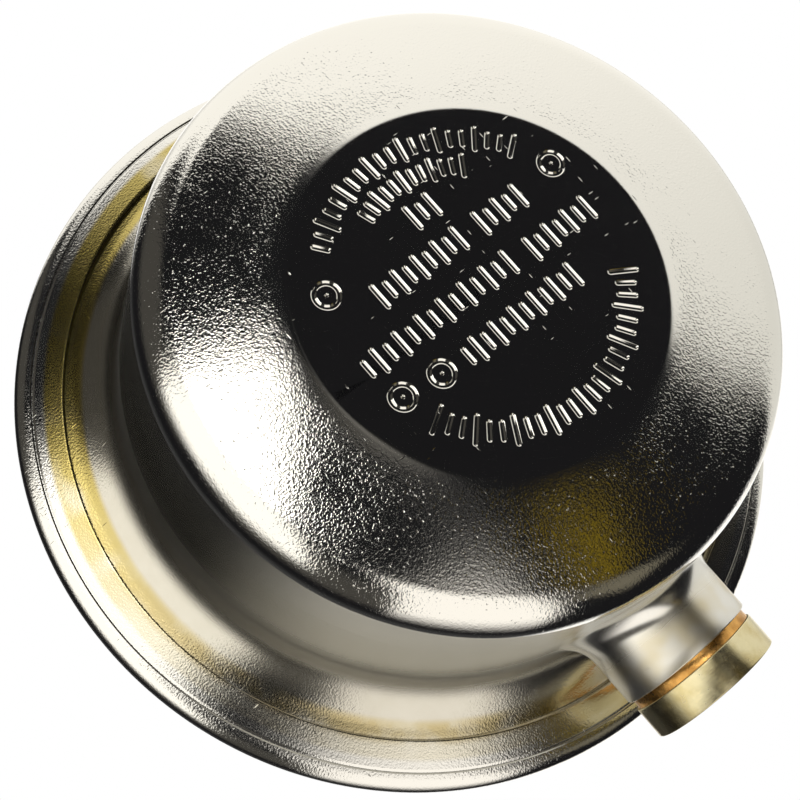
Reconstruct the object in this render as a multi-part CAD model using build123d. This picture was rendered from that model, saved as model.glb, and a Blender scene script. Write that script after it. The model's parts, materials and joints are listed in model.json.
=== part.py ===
"""Automatic air vent for a steam radiator: a brass can with a side inlet, a float and a screw-in orifice.

Millimetres. +Z is up, out of the orifice. The origin is the centre of the flat marking panel that the
vent stands on. The inlet's axis runs along +X.
"""

from build123d import *

import os
from math import cos, radians, sin, tan

# ---- Driving dimensions ----------------------------------------------------------------------------
SHEET = 0.55  # drawn brass sheet
CUP_R = 25.4  # outer radius of the bottom cup
SEAM_R = 33.6  # outer radius of the folded seam
SEAM_Z = 24.0  # underside of the fold
COVER_R = 28.0  # outer radius of the cover's wall
CROWN_Z = 56.0  # outer height of the cover's flat land
FLOAT_R = 20.5  # outer radius of the float's lower can
FLOAT_BASE_Z = 4.5  # where the float stands
FLOAT_TOP_Z = 42.0

# Bottom cup
PANEL_R = 14.5  # flat marking panel
KNUCKLE_R = 6.0  # soft bend round the panel
KNUCKLE_SLOPE = 5.0  # slope of the face where that bend ends
FACE_SLOPE = 12.0  # slope of the face where the corner starts
CORNER_R = 3.2
COVE_R = 2.8  # bend from the wall to the flange

# Seam, from the bottom up: folded rim, cup flange, solder, cover flange
SOLDER = 0.25
FOLD_GAP = 0.05
FLANGE_Z = SEAM_Z + SHEET
FLANGE_TOP_Z = FLANGE_Z + SHEET
SEAM_TOP_Z = FLANGE_TOP_Z + SOLDER + SHEET
BEAD_R = (SEAM_TOP_Z - SEAM_Z) / 2
FLANGE_R = SEAM_R - BEAD_R - FOLD_GAP
FOLD_EDGE_R = 29.65  # free edge of the folded rim

# Cover
LAND_R = 9.0  # flat land round the boss
CROWN_SLOPE = 12.0  # slope of the crown where the shoulder starts
SHOULDER_R = 20.0
COVER_COVE_R = 2.5
COVER_INSIDE_Z = CROWN_Z - SHEET

# Inlet
INLET_Z = 16.0
NECK_R = 6.02
NECK_BORE_R = NECK_R - SHEET
NECK_END = 31.2
NECK_FILLET = 2.2
BUSH_START = 25.2
BUSH_HEAD_X = 32.0
BUSH_END = 34.8
BUSH_HEAD_R = 5.87
BUSH_CHAMFER = 0.4
BRAZE = 0.25  # depth of the braze left in the groove
PORT_R = 4.37  # tapping size of the 1/8 inch taper pipe thread
PORT_MOUTH_R = 5.1

# Float stand
STRIP = 0.5
STRIP_WIDTH = 3.0
STAND_Z = FLOAT_BASE_Z - STRIP
STAND_RING = (15.5, 19.0)  # inner and outer radius
STAND_FOOT_R = 12.0
FINGER_R = 21.6
FINGER_HEIGHT = 8.0
STAND_TURNS = (60, 180, 300)

# Float
CAN_SHEET = 0.4
LOWER_CORNER_R = 1.2
UPPER_CORNER_R = 4.0
LAP_Z = 18.0  # lower edge of the upper can
LAP = 4.0
LAP_SOLDER = 0.5
CLAMP = 0.6
CLAMP_R = 19.5
DIAPHRAGM_Z = FLOAT_BASE_Z + CLAMP
DIAPHRAGM_R = 17.5
DIAPHRAGM_SHEET = 0.2
WINDOW_R = 13.5  # opening that the diaphragm closes
CORRUGATION_START_R = 5.0
CORRUGATION_PITCH = 2.6
CORRUGATION_DEPTH = 0.55
CORRUGATIONS = 3
FOOT_R = 3.0
FOOT_PAD_R = 4.5
FOOT_PAD = 0.8
FOOT_GAP = 1.5  # free travel of the foot above the cup
FILL_X = 10.0
FILL_R = 0.8
PELLET_R = 1.6

# Pin and its guide. At rest the pin's cone is 3 mm below the place where it shuts the seat.
PIN_R = 1.25
PIN_SOCKET_Z = FLOAT_TOP_Z + 0.4
PIN_CONE_Z = 49.8
PIN_TIP_Z = 51.3
PIN_TIP_R = 0.4
HOLDER_R = 3.0
HOLDER_HEIGHT = 2.5
GUIDE_Z = 48.0
GUIDE_LEG_R = 7.0
GUIDE_TAB = 1.5
GUIDE_WIDTH = 5.0
GUIDE_CLEARANCE = 0.1

# Orifice
BOSS_R = 5.5
BOSS_TOP_Z = 60.0
BOSS_CHAMFER = 0.4
SPIGOT_R = 5.0
SPIGOT_Z = 52.2
BOSS_FLANGE_R = 8.0
BOSS_FLANGE_Z = COVER_INSIDE_Z - 1.25
BOSS_SOLDER = 1.1
TAPPING_R = 2.75  # 1/4-28 thread at its minor radius
SHANK_R = 2.65
SHANK_Z = 55.0
WASHER = 0.6
WASHER_R = 4.1
HEX_ACROSS_FLATS = 8.0
HEX_HEIGHT = 4.0
HEX_CHAMFER_ANGLE = 30.0
HEX_CHAMFER_INSET = 0.25
ORIFICE_R = 0.6
COUNTERBORE_R = 1.5
COUNTERBORE_DEPTH = 7.1
SEAT_R = 3.4
SEAT_HOLE_R = 0.9
SEAT_ENTRY_R = 1.6
SEAT_CONE_Z = 53.5
SEAT_TOP_Z = 54.2

ON_BASE = (Align.CENTER, Align.CENTER, Align.MIN)


# ---- Helpers ---------------------------------------------------------------------------------------
def turned(*edges):
    """A solid turned about Z from a closed half section drawn as (radius, height)."""
    return revolve(Plane.XZ * make_face(edges), Axis.Z)


def turned_outline(*points):
    """A solid turned about Z from its (radius, height) corners."""
    return turned(Polyline(*points, close=True))


def ring(inner, outer, low, high):
    """A plain ring about Z."""
    return turned_outline((inner, low), (outer, low), (outer, high), (inner, high))


def disc(radius, low, high):
    """A plain disc about Z."""
    return Pos(0, 0, low) * Cylinder(radius, high - low, align=ON_BASE)


def bar(x_range, width, z_range):
    """A block centred on the XZ plane."""
    centre = Pos(sum(x_range) / 2, 0, sum(z_range) / 2)
    return centre * Box(x_range[1] - x_range[0], width, z_range[1] - z_range[0])


def bend(centre, radius, start, end):
    """An arc of a section between two angles, in degrees counter-clockwise from the radial direction."""
    return CenterArc(centre, radius, start, end - start)


def sheet_turned(path, thickness, side):
    """A sheet-metal shell turned about Z. The path is its outer face, and side is where the metal lies."""
    section = offset(Wire(path), thickness, side=side)
    return turned(*section.edges())


def along_x(radius, start, end):
    """A cylinder on the inlet's axis."""
    lying = Cylinder(radius, end - start, rotation=(0, 90, 0), align=ON_BASE)
    return Pos(start, 0, INLET_Z) * lying


def turned_about_inlet(*points):
    """A solid turned about the inlet's axis from its (x, radius) corners."""
    section = Plane.XZ * make_face(Polyline(*points, close=True))
    return Pos(0, 0, INLET_Z) * revolve(section, Axis.X)


# ---- Shells ----------------------------------------------------------------------------------------
def cup_solid(inset, flange_r=None):
    """The cup as a solid, its outer face moved inwards by inset. It stops at the flange's top."""
    first = radians(KNUCKLE_SLOPE)
    last = radians(FACE_SLOPE)
    knuckle_end = PANEL_R + KNUCKLE_R * sin(first)
    corner_start = CUP_R - CORNER_R * (1 - sin(last))
    face_r = (corner_start - knuckle_end) / (sin(last) - sin(first))
    face_centre = (knuckle_end - face_r * sin(first), KNUCKLE_R + (face_r - KNUCKLE_R) * cos(first))
    corner_centre = (CUP_R - CORNER_R, face_centre[1] - (face_r - CORNER_R) * cos(last))
    cove_centre = (CUP_R + COVE_R, FLANGE_Z - COVE_R)
    flange = [(cove_centre[0], FLANGE_Z + inset)]
    if flange_r:
        flange += [(flange_r, FLANGE_Z), (flange_r, FLANGE_TOP_Z)]
    return turned(
        Line((0, inset), (PANEL_R, inset)),
        bend((PANEL_R, KNUCKLE_R), KNUCKLE_R - inset, -90, -90 + KNUCKLE_SLOPE),
        bend(face_centre, face_r - inset, -90 + KNUCKLE_SLOPE, -90 + FACE_SLOPE),
        bend(corner_centre, CORNER_R - inset, -90 + FACE_SLOPE, 0),
        Line((CUP_R - inset, corner_centre[1]), (CUP_R - inset, cove_centre[1])),
        bend(cove_centre, COVE_R + inset, 180, 90),
        Polyline(*flange, (0, FLANGE_TOP_Z), (0, inset)),
    )


def flared_neck():
    """The neck with the rounded root where it was pulled out of the wall, on a patch of that wall."""
    reach = NECK_R + NECK_FILLET
    heights = (INLET_Z - reach, INLET_Z + reach)
    wall = disc(CUP_R, INLET_Z - 2 * reach, INLET_Z + 2 * reach)
    joined = wall + along_x(NECK_R, CUP_R - NECK_R, NECK_END)
    root_zone = bar((CUP_R - NECK_R, NECK_END - SHEET), 2 * reach, heights)
    root = [e for e in joined.edges() if e.geom_type != GeomType.LINE and root_zone.is_inside(e @ 0.5)]
    patch = bar((CUP_R - NECK_R / 2, NECK_END), 2 * reach, heights)
    return fillet(root, NECK_FILLET) & patch


def lower_shell():
    """Drawn cup with its inlet neck pulled out of the wall, and the flange that the cover folds round."""
    outside = cup_solid(0, FLANGE_R) + flared_neck()
    inside = cup_solid(SHEET) + along_x(NECK_BORE_R, CUP_R - NECK_R, NECK_END)
    return outside - inside


def cover_shell():
    """Domed cover. Its rim is folded round the cup's flange and back under it."""
    slope = radians(CROWN_SLOPE)
    shoulder_x = COVER_R - SHOULDER_R
    crown_end = shoulder_x + SHOULDER_R * sin(slope)
    crown_r = (crown_end - LAND_R) / sin(slope)
    crown_centre = (LAND_R, CROWN_Z - crown_r)
    shoulder_centre = (shoulder_x, crown_centre[1] + (crown_r - SHOULDER_R) * cos(slope))
    cove_centre = (COVER_R + COVER_COVE_R, SEAM_TOP_Z + COVER_COVE_R)
    bead_centre = (SEAM_R - BEAD_R, SEAM_Z + BEAD_R)
    path = [
        Line((BOSS_R, CROWN_Z), (LAND_R, CROWN_Z)),
        bend(crown_centre, crown_r, 90, 90 - CROWN_SLOPE),
        bend(shoulder_centre, SHOULDER_R, 90 - CROWN_SLOPE, 0),
        Line((COVER_R, shoulder_centre[1]), (COVER_R, cove_centre[1])),
        bend(cove_centre, COVER_COVE_R, 180, 270),
        Line((cove_centre[0], SEAM_TOP_Z), (bead_centre[0], SEAM_TOP_Z)),
        bend(bead_centre, BEAD_R, 90, -90),
        Line((bead_centre[0], SEAM_Z), (FOLD_EDGE_R, SEAM_Z)),
    ]
    return sheet_turned(path, SHEET, Side.RIGHT)


def seam_solder():
    """Solder ring between the two flanges."""
    return ring(COVER_R + COVER_COVE_R, FLANGE_R, FLANGE_TOP_Z, FLANGE_TOP_Z + SOLDER)


# ---- Inlet -----------------------------------------------------------------------------------------
def inlet_bush():
    """Threaded brass bush, soldered into the neck. The thread is shown as its tapping-size bore."""
    return turned_about_inlet(
        (BUSH_START, PORT_R),
        (BUSH_START, NECK_BORE_R),
        (BUSH_HEAD_X, NECK_BORE_R),
        (BUSH_HEAD_X, BUSH_HEAD_R),
        (BUSH_END - BUSH_CHAMFER, BUSH_HEAD_R),
        (BUSH_END, BUSH_HEAD_R - BUSH_CHAMFER),
        (BUSH_END, PORT_MOUTH_R),
        (BUSH_END - (PORT_MOUTH_R - PORT_R), PORT_R),
    )


def inlet_braze():
    """Braze that fills the groove between the neck's end and the bush's head."""
    return turned_about_inlet(
        (NECK_END, NECK_BORE_R),
        (BUSH_HEAD_X, NECK_BORE_R),
        (BUSH_HEAD_X, NECK_BORE_R + BRAZE),
        (NECK_END, NECK_BORE_R + BRAZE),
    )


# ---- Float -----------------------------------------------------------------------------------------
def float_stand():
    """Stamped spider: three feet hold its ring off the cup, and three fingers keep the float central."""
    inner, outer = STAND_RING
    strip_z = (STAND_Z, FLOAT_BASE_Z)
    arm = (
        bar((STAND_FOOT_R, inner + STRIP), STRIP_WIDTH, strip_z)
        + bar((STAND_FOOT_R, STAND_FOOT_R + STRIP), STRIP_WIDTH, (SHEET, FLOAT_BASE_Z))
        + bar((outer - STRIP, FINGER_R), STRIP_WIDTH, strip_z)
        + bar((FINGER_R, FINGER_R + STRIP), STRIP_WIDTH, (STAND_Z, STAND_Z + FINGER_HEIGHT))
    )
    spider = ring(inner, outer, *strip_z)
    for turn in STAND_TURNS:
        spider += Rot(0, 0, turn) * arm
    return spider


def diaphragm_ring():
    """Clamp ring under the diaphragm. The float stands on it."""
    return ring(WINDOW_R, CLAMP_R, FLOAT_BASE_Z, DIAPHRAGM_Z)


def diaphragm():
    """Flexible corrugated disc that bows out when the charge in the float boils."""
    crest_z = DIAPHRAGM_Z + CORRUGATION_DEPTH
    quarter = CORRUGATION_PITCH / 4
    lower = [(0, DIAPHRAGM_Z)]
    for wave in range(CORRUGATIONS):
        start = CORRUGATION_START_R + wave * CORRUGATION_PITCH
        lower += [(start, DIAPHRAGM_Z), (start + quarter, crest_z)]
        lower += [(start + 2 * quarter, crest_z), (start + 3 * quarter, DIAPHRAGM_Z)]
    lower += [(DIAPHRAGM_R, DIAPHRAGM_Z)]
    upper = [(r, z + DIAPHRAGM_SHEET) for r, z in reversed(lower)]
    return turned_outline(*lower, *upper)


def diaphragm_foot():
    """Button on the diaphragm's centre that pushes down on the cup."""
    pad_z = DIAPHRAGM_Z - FOOT_PAD
    return disc(FOOT_PAD_R, pad_z, DIAPHRAGM_Z) + disc(FOOT_R, SHEET + FOOT_GAP, pad_z)


def float_lower_can():
    """Lower half of the float, open at the bottom for the diaphragm."""
    base = DIAPHRAGM_Z + DIAPHRAGM_SHEET
    corner_centre = (FLOAT_R - LOWER_CORNER_R, base + LOWER_CORNER_R)
    path = [
        Line((WINDOW_R, base), (corner_centre[0], base)),
        bend(corner_centre, LOWER_CORNER_R, -90, 0),
        Line((FLOAT_R, corner_centre[1]), (FLOAT_R, LAP_Z + LAP)),
    ]
    return sheet_turned(path, CAN_SHEET, Side.LEFT)


def float_upper_can():
    """Upper half of the float. Its skirt laps over the lower half, and its top has the filling hole."""
    skirt_r = FLOAT_R + CAN_SHEET
    corner_centre = (skirt_r - UPPER_CORNER_R, FLOAT_TOP_Z - UPPER_CORNER_R)
    path = [
        Line((0, FLOAT_TOP_Z), (corner_centre[0], FLOAT_TOP_Z)),
        bend(corner_centre, UPPER_CORNER_R, 90, 0),
        Line((skirt_r, corner_centre[1]), (skirt_r, LAP_Z)),
    ]
    filling_hole = Pos(FILL_X, 0, 0) * disc(FILL_R, FLOAT_TOP_Z - CAN_SHEET, FLOAT_TOP_Z)
    return sheet_turned(path, CAN_SHEET, Side.RIGHT) - filling_hole


def float_solder():
    """Solder fillet under the lap of the float's two halves."""
    return turned_outline((FLOAT_R, LAP_Z), (FLOAT_R + CAN_SHEET, LAP_Z), (FLOAT_R, LAP_Z - LAP_SOLDER))


def fill_plug():
    """Pellet of solder that seals the charge in."""
    stem = disc(FILL_R, FLOAT_TOP_Z - CAN_SHEET, FLOAT_TOP_Z)
    dome = Pos(0, 0, FLOAT_TOP_Z) * Sphere(PELLET_R, arc_size1=0, align=ON_BASE)
    return Pos(FILL_X, 0, 0) * (stem + dome)


def pin_holder():
    """Turned socket on the float that carries the pin."""
    top = FLOAT_TOP_Z + HOLDER_HEIGHT
    return disc(HOLDER_R, FLOAT_TOP_Z, top) - disc(PIN_R, PIN_SOCKET_Z, top)


def valve_pin():
    """Pin whose cone shuts the seat."""
    return turned_outline(
        (0, PIN_SOCKET_Z),
        (PIN_R, PIN_SOCKET_Z),
        (PIN_R, PIN_CONE_Z),
        (PIN_TIP_R, PIN_TIP_Z),
        (0, PIN_TIP_Z),
    )


# ---- Orifice ---------------------------------------------------------------------------------------
def pin_guide():
    """Bent strip under the boss, with the hole that guides the pin."""
    strap = bar((-GUIDE_LEG_R, GUIDE_LEG_R), GUIDE_WIDTH, (GUIDE_Z, GUIDE_Z + STRIP))
    leg = bar((GUIDE_LEG_R - STRIP, GUIDE_LEG_R), GUIDE_WIDTH, (GUIDE_Z, BOSS_FLANGE_Z))
    tab = bar((GUIDE_LEG_R - GUIDE_TAB, GUIDE_LEG_R), GUIDE_WIDTH, (BOSS_FLANGE_Z - STRIP, BOSS_FLANGE_Z))
    for turn in (0, 180):
        strap += Rot(0, 0, turn) * (leg + tab)
    return strap - disc(PIN_R + GUIDE_CLEARANCE, GUIDE_Z, GUIDE_Z + STRIP)


def orifice_boss():
    """Turned boss through the crown: a flange inside, the plug's thread above and the seat's pocket below."""
    outside = turned_outline(
        (0, SPIGOT_Z),
        (SPIGOT_R, SPIGOT_Z),
        (SPIGOT_R, BOSS_FLANGE_Z),
        (BOSS_FLANGE_R, BOSS_FLANGE_Z),
        (BOSS_FLANGE_R, COVER_INSIDE_Z),
        (BOSS_R, COVER_INSIDE_Z),
        (BOSS_R, BOSS_TOP_Z - BOSS_CHAMFER),
        (BOSS_R - BOSS_CHAMFER, BOSS_TOP_Z),
        (0, BOSS_TOP_Z),
    )
    return outside - disc(TAPPING_R, SEAT_TOP_Z, BOSS_TOP_Z) - disc(SEAT_R, SPIGOT_Z, SEAT_TOP_Z)


def boss_solder():
    """Solder fillet where the boss comes out of the crown."""
    toe = (BOSS_R + BOSS_SOLDER, CROWN_Z)
    top = (BOSS_R, CROWN_Z + BOSS_SOLDER)
    return turned(
        Polyline(top, (BOSS_R, CROWN_Z), toe),
        bend((toe[0], top[1]), BOSS_SOLDER, 270, 180),
    )


def valve_seat():
    """Seat insert in the bottom of the boss, with the cone that the pin shuts."""
    return turned_outline(
        (SEAT_ENTRY_R, SPIGOT_Z),
        (SEAT_R, SPIGOT_Z),
        (SEAT_R, SEAT_TOP_Z),
        (SEAT_HOLE_R, SEAT_TOP_Z),
        (SEAT_HOLE_R, SEAT_CONE_Z),
    )


def orifice_washer():
    """Fibre washer under the plug's head."""
    return ring(SHANK_R, WASHER_R, BOSS_TOP_Z, BOSS_TOP_Z + WASHER)


def orifice_plug():
    """Screw-in plug: a hexagon head and the drilled hole that sets how fast the air leaves."""
    head_z = BOSS_TOP_Z + WASHER
    top = head_z + HEX_HEIGHT
    corner_r = HEX_ACROSS_FLATS / 2 / cos(radians(30))
    flat_r = HEX_ACROSS_FLATS / 2 - HEX_CHAMFER_INSET
    drop = (corner_r - flat_r) * tan(radians(HEX_CHAMFER_ANGLE))
    hexagon = Pos(0, 0, head_z) * extrude(RegularPolygon(corner_r, 6), HEX_HEIGHT)
    chamfered = turned_outline(
        (0, head_z), (corner_r, head_z), (corner_r, top - drop), (flat_r, top), (0, top)
    )
    shank = disc(SHANK_R, SHANK_Z, head_z)
    passage = disc(ORIFICE_R, SHANK_Z, top) + disc(COUNTERBORE_R, SHANK_Z, SHANK_Z + COUNTERBORE_DEPTH)
    return (hexagon & chamfered) + shank - passage


PARTS = (
    lower_shell,
    cover_shell,
    seam_solder,
    inlet_bush,
    inlet_braze,
    float_stand,
    diaphragm_ring,
    diaphragm,
    diaphragm_foot,
    float_lower_can,
    float_upper_can,
    float_solder,
    fill_plug,
    pin_holder,
    valve_pin,
    pin_guide,
    orifice_boss,
    boss_solder,
    valve_seat,
    orifice_washer,
    orifice_plug,
)

os.makedirs("parts", exist_ok=True)
for make_part in PARTS:
    export_step(make_part(), f"parts/{make_part.__name__}.step")
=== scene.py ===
import json
from math import atan2, ceil, cos, degrees, hypot, pi, radians, sin, sqrt, tan

import bmesh
import bpy
from mathutils import Euler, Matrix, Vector
from mathutils.geometry import delaunay_2d_cdt


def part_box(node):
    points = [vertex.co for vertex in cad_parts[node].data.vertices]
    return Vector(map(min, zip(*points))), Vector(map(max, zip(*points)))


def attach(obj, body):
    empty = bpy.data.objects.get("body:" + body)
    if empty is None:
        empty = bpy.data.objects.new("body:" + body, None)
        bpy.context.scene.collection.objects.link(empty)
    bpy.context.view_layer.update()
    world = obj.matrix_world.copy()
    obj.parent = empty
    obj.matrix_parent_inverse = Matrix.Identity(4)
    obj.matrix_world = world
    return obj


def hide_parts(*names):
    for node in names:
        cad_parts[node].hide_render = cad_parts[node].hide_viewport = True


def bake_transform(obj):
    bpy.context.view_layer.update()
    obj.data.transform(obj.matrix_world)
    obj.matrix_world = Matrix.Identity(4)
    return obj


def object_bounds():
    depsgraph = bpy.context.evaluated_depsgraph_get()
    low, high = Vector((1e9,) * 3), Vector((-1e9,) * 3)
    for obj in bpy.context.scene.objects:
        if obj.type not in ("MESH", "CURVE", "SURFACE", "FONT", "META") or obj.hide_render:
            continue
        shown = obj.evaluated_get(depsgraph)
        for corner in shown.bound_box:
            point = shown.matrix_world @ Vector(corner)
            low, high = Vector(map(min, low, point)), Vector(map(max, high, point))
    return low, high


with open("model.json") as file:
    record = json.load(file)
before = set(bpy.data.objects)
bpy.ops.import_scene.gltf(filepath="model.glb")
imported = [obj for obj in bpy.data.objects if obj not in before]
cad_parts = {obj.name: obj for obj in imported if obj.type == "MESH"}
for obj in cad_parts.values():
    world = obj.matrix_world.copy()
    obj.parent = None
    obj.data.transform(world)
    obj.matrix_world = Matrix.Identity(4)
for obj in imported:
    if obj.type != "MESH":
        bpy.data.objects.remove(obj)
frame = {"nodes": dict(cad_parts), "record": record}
cad_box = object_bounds()

# ---- Sizes: lengths in metres, angles in degrees ---------------------------------------------------
MM = 0.001
SHEET = 0.55 * MM  # drawn brass
EDGE = 0.12 * MM  # radius that edges are broken to

# Bottom cup
CUP_R = 25.4 * MM
PANEL_R = 14.5 * MM
KNUCKLE_R = 6.0 * MM  # soft bend round the panel
KNUCKLE_SLOPE = 5.0  # slope of the face where that bend ends
FACE_SLOPE = 12.0  # slope of the face where the corner starts
CORNER_R = 3.2 * MM
COVE_R = 4.6 * MM  # bend from the wall to the flange
PRESS_ANGLE = 14.0  # the folded rim is pressed to a shallow cone, higher outside
PRESS_PIVOT_R = 30.6 * MM  # where that cone crosses the flat rim
NECK_R = 6.02 * MM
NECK_BORE_R = NECK_R - SHEET
NECK_FILLET = 2.2 * MM
PATCH_LOW_Z = 7.2 * MM  # lower edge of the patch of wall round the neck
PATCH_COVE_ANGLE = 66.0  # how far up the cove that patch goes
HALF_PATCH = 16  # segments from the inlet's plane to the patch's edge
WALL_ROWS = 17  # rows of points on the wall, beside the neck

# Stamped marks
STROKE = 0.21 * MM  # half width of a stroke at its rim
MARK_DEPTH = 0.13 * MM
GUARD = 0.05 * MM  # flat rim kept round a mark

# Cover
COVER_R = 28.0 * MM
COVER_COVE_R = 2.5 * MM
SHOULDER_R = 20.0 * MM
CROWN_SLOPE = 12.0
LAND_R = 9.0 * MM  # flat land round the boss
FOLD_EDGE_R = 29.65 * MM  # free edge of the folded rim
CREASE_R = 32.15 * MM  # crease pressed into the fold
CREASE_DEPTH = 0.12 * MM
CREASE_HALF = 0.17 * MM  # half its width

# Inlet
PIPE_PITCH = 25.4 / 27 * MM
PIPE_THREAD = 0.62 * MM  # height of the thread
PORT_R = 4.37 * MM
PORT_MOUTH_R = 5.1 * MM

# Orifice
BOSS_R = 5.5 * MM
BOSS_FLANGE = 1.25 * MM
SPIGOT_R = 5.0 * MM
TAPPING_R = 2.75 * MM
SHANK_R = 2.6 * MM
PLUG_PITCH = 25.4 / 28 * MM
PLUG_THREAD = 0.5 * MM
THREAD_ROWS = 12  # rows of points to one pitch
HEX_CHAMFER_ANGLE = 30.0
HEX_CHAMFER_INSET = 0.25 * MM
ORIFICE_R = 0.6 * MM
PASSAGE_R = 1.5 * MM
PASSAGE_DEPTH = 7.1 * MM

# Diaphragm
DIAPHRAGM_SHEET = 0.2 * MM
DIAPHRAGM_WINDOW_R = 13.5 * MM  # opening that it closes
CORRUGATION_START_R = 5.0 * MM
CORRUGATION_PITCH = 2.6 * MM
CORRUGATIONS = 3

# Meshes
SEGMENTS = 288  # round the vent's axis
FINE_SEGMENTS = 144  # round a small piece
ARC_STEP = 3.0  # degrees between the points of an arc
SMOOTH_ANGLE = 32.0
THREAD_SMOOTH_ANGLE = 50.0
FLAT_GUARD = 0.08 * MM  # from the end of a flat to the point that keeps its shading flat
WELD = 1e-7  # points closer than this are one

# ---- Places from the frame -------------------------------------------------------------------------
cup_low, cup_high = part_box("lower_shell")
cover_low, cover_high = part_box("cover_shell")
bush_low, bush_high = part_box("inlet_bush")
braze_low, braze_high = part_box("inlet_braze")
boss_low, boss_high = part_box("orifice_boss")
solder_low, solder_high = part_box("seam_solder")
plug_low, plug_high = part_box("orifice_plug")
washer_low, washer_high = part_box("orifice_washer")
diaphragm_low, diaphragm_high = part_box("diaphragm")
foot_low, foot_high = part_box("diaphragm_foot")

SEAM_R = cover_high.x
SEAM_Z = cover_low.z
CROWN_Z = cover_high.z
FLANGE_R = -cup_low.x
FLANGE_TOP_Z = cup_high.z
FLANGE_Z = FLANGE_TOP_Z - SHEET
SEAM_TOP_Z = solder_high.z + SHEET
BEAD_R = (SEAM_TOP_Z - SEAM_Z) / 2
INLET_Z = (bush_low.z + bush_high.z) / 2
BUSH_HEAD_R = bush_high.y
BUSH_START = bush_low.x
BUSH_END = bush_high.x
PORT_MOUTH_X = BUSH_END - (PORT_MOUTH_R - PORT_R)
NECK_END = braze_low.x
BUSH_HEAD_X = braze_high.x
BRAZE_R = braze_high.y
HEX_FLAT = plug_high.y  # from the axis to a flat
SLOTS = {part["node"]: part["material_slot"] for part in frame["record"]["subparts"]}


# ---- Outlines --------------------------------------------------------------------------------------
def arc(centre, radius, start, end, step=ARC_STEP):
    """Points on an arc between two angles, in degrees counter-clockwise from the first axis."""
    count = max(2, ceil(abs(end - start) / step))
    angles = [radians(start + (end - start) * i / count) for i in range(count + 1)]
    return [(centre[0] + radius * cos(a), centre[1] + radius * sin(a)) for a in angles]


def straight(start, end, count=1):
    """Points on a line, with a guard point near each end so that a flat keeps its own shading."""
    length = hypot(end[0] - start[0], end[1] - start[1])
    guard = FLAT_GUARD / length
    steps = [guard] + [i / count for i in range(1, count)] + [1 - guard]
    inner = [(start[0] + (end[0] - start[0]) * t, start[1] + (end[1] - start[1]) * t) for t in steps]
    return [start] + inner + [end]


def joined(*runs):
    """One outline from several runs of points, without repeated points."""
    outline = []
    for point in (p for run in runs for p in run):
        if not outline or hypot(point[0] - outline[-1][0], point[1] - outline[-1][1]) > WELD:
            outline.append(point)
    return outline


def rounded(corners, radius, step=15.0):
    """A closed outline with every corner rounded by an arc of the given radius."""
    outline = []
    count = len(corners)
    for i, corner in enumerate(corners):
        here = Vector(corner)
        before = (Vector(corners[i - 1]) - here).normalized()
        after = (Vector(corners[(i + 1) % count]) - here).normalized()
        half = before.angle(after) / 2
        reach = radius / tan(half)
        middle = here + (before + after).normalized() * (radius / sin(half))
        first = here + before * reach - middle
        last = here + after * reach - middle
        start = atan2(first.y, first.x)
        sweep = (atan2(last.y, last.x) - start + pi) % (2 * pi) - pi
        outline += arc(middle, radius, degrees(start), degrees(start + sweep), step)
    return outline


# ---- Meshes ----------------------------------------------------------------------------------------
def mesh_piece(name, points, faces, smooth_angle=SMOOTH_ANGLE):
    """A welded piece from points and faces, smooth except at edges sharper than smooth_angle."""
    mesh = bpy.data.meshes.new(name)
    mesh.from_pydata([tuple(p) for p in points], [], faces)
    build = bmesh.new()
    build.from_mesh(mesh)
    bmesh.ops.remove_doubles(build, verts=build.verts, dist=WELD)
    bmesh.ops.recalc_face_normals(build, faces=build.faces)
    build.to_mesh(mesh)
    build.free()
    mesh.shade_smooth()
    mesh.set_sharp_from_angle(angle=radians(smooth_angle))
    piece = bpy.data.objects.new(name, mesh)
    bpy.context.scene.collection.objects.link(piece)
    return piece


def lathe(name, outline, segments=SEGMENTS, about="Z", height=0.0, smooth_angle=SMOOTH_ANGLE):
    """A turned piece from a closed outline of (radius, place along the axis).

    The outline can be a function that gives one for a turn. With about="X" the axis lies along X, at a
    height.
    """
    outlines = [outline(2 * pi * k / segments) if callable(outline) else outline for k in range(segments)]
    points = []
    rings = []
    for i in range(len(outlines[0])):
        start = len(points)
        if max(o[i][0] for o in outlines) < WELD:
            points.append((0, 0, outlines[0][i][1]))
            rings.append([start] * segments)
            continue
        for k, (r, along) in enumerate(o[i] for o in outlines):
            turn = 2 * pi * k / segments
            points.append((r * cos(turn), r * sin(turn), along))
        rings.append(list(range(start, start + segments)))
    faces = []
    for low, high in zip(rings, rings[1:] + rings[:1]):
        for k in range(segments):
            k2 = (k + 1) % segments
            corners = list(dict.fromkeys((low[k], low[k2], high[k2], high[k])))
            if len(corners) > 2:
                faces.append(tuple(corners))
    if about == "X":
        points = [(z, y, height - x) for x, y, z in points]
    return mesh_piece(name, points, faces, smooth_angle)


def thread_height(along, turn, pitch, depth):
    """How far a thread's flank stands above its root at a place along and round the axis."""
    phase = (along / pitch - turn / (2 * pi)) % 1.0
    return depth * min(max((abs(phase - 0.5) * 2 - 0.1) / 0.8, 0.0), 1.0)


# ---- Shader nodes ----------------------------------------------------------------------------------
class Wire:
    """A value in a node tree. Arithmetic on it adds Math nodes."""

    def __init__(self, socket):
        self.socket = socket
        self.tree = socket.id_data

    def math(self, operation, *others):
        """The result of a Math node on this value and others, which are wires or numbers."""
        node = self.tree.nodes.new("ShaderNodeMath")
        node.operation = operation
        for slot, value in zip(node.inputs, (self,) + others):
            join(value, slot)
        return Wire(node.outputs[0])

    def __add__(self, other):
        return self.math("ADD", other)

    def __sub__(self, other):
        return self.math("SUBTRACT", other)

    def __mul__(self, other):
        return self.math("MULTIPLY", other)

    def __neg__(self):
        return self.math("MULTIPLY", -1.0)

    __radd__ = __add__


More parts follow.
